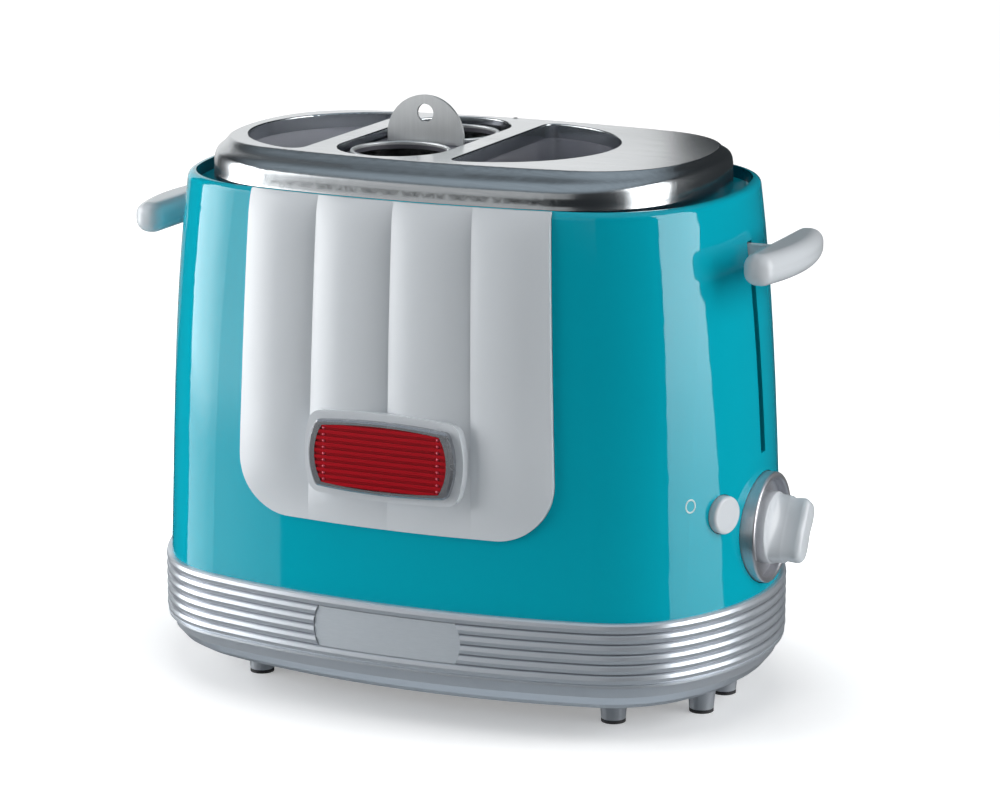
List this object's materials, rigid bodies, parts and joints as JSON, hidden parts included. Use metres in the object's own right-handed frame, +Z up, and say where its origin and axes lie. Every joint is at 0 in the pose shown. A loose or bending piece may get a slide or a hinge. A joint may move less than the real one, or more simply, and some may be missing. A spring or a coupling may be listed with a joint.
{
  "type": "hot dog maker",
  "caption": "Retro countertop hot dog toaster with bun wells, a lift-out sausage basket, side lift levers, a timer knob, a stop button and a beaded base.",
  "frame": {"origin": "on the table, at the middle of the base's oval outline", "axes": "+Z up, +X to the end with the knob, -Y to the front with the white panel"},
  "size_m": [0.292, 0.1743, 0.241],
  "materials": {
    "silver": "satin silver paint",
    "rubber_black": "matt",
    "plastic_black": "matt",
    "turquoise": "glossy",
    "white": "glossy",
    "chrome": "polished",
    "red": "glossy, dark",
    "plate": "satin",
    "steel": "brushed",
    "sheet": "plated",
    "mica": "matt mica",
    "ribbon": "dull",
    "copper": "enamelled copper coil",
    "iron": "dull",
    "board": "lacquered",
    "terminal": "matt"
  },
  "bodies": {
    "housing": {"base_skirt": "silver", "foot_pads": "rubber_black", "cord_gland": "rubber_black", "bottom_plate": "plastic_black", "stop_switch": "plastic_black", "timer_pot": "plastic_black", "body_shell": "turquoise", "front_panel": "white", "badge_frame": "chrome", "knob_ring": "chrome", "badge_insert": "red", "trim_plate": "plate", "top_bezel": "steel", "bun_well_left": "steel", "bun_well_right": "steel", "sausage_well": "steel", "chassis_plate": "sheet", "end_plate_left": "sheet", "end_plate_right": "sheet", "guide_rods": "sheet", "return_springs": "sheet", "button_spring": "sheet", "screws": "sheet", "heater_boards": "mica", "heater_ribbons": "ribbon", "electromagnet": "copper", "control_board": "board", "terminal_block": "terminal"},
    "carriage": {"lift_beam": "sheet", "slider_left": "sheet", "slider_right": "sheet", "rack_left": "sheet", "rack_right": "sheet", "lever_left": "white", "lever_right": "white", "armature": "iron"},
    "basket": {"sausage_cage_front": "chrome", "sausage_cage_back": "chrome", "basket_collar": "chrome"},
    "knob": {"knob": "white"},
    "stop_button": {"stop_button": "white"},
    "crumb_tray": {"crumb_tray": "silver"}
  },
  "joints": [
    {"name": "lift", "type": "slide", "parent": "housing", "child": "carriage", "axis": [0, 0, -1], "range_m": [0, 0.075], "stiffness_N_per_m": 60, "springref_m": -0.06, "deforming": ["return_springs"]},
    {"name": "basket_lift", "type": "slide", "parent": "housing", "child": "basket", "axis": [0, 0, 1], "range_m": [0, 0.15]},
    {"name": "knob_turn", "type": "hinge", "parent": "housing", "child": "knob", "pos_m": [0.1317, 0, 0.0762], "axis": [-1, 0, 0], "range_deg": [-30, 240]},
    {"name": "button_press", "type": "slide", "parent": "housing", "child": "stop_button", "axis": [-0.9384, 0.3455, 0], "range_m": [0, 0.0025], "stiffness_N_per_m": 300, "springref_m": -0.002, "deforming": ["button_spring"]},
    {"name": "tray_slide", "type": "slide", "parent": "housing", "child": "crumb_tray", "axis": [0, 1, 0], "range_m": [0, 0.12]}
  ]
}
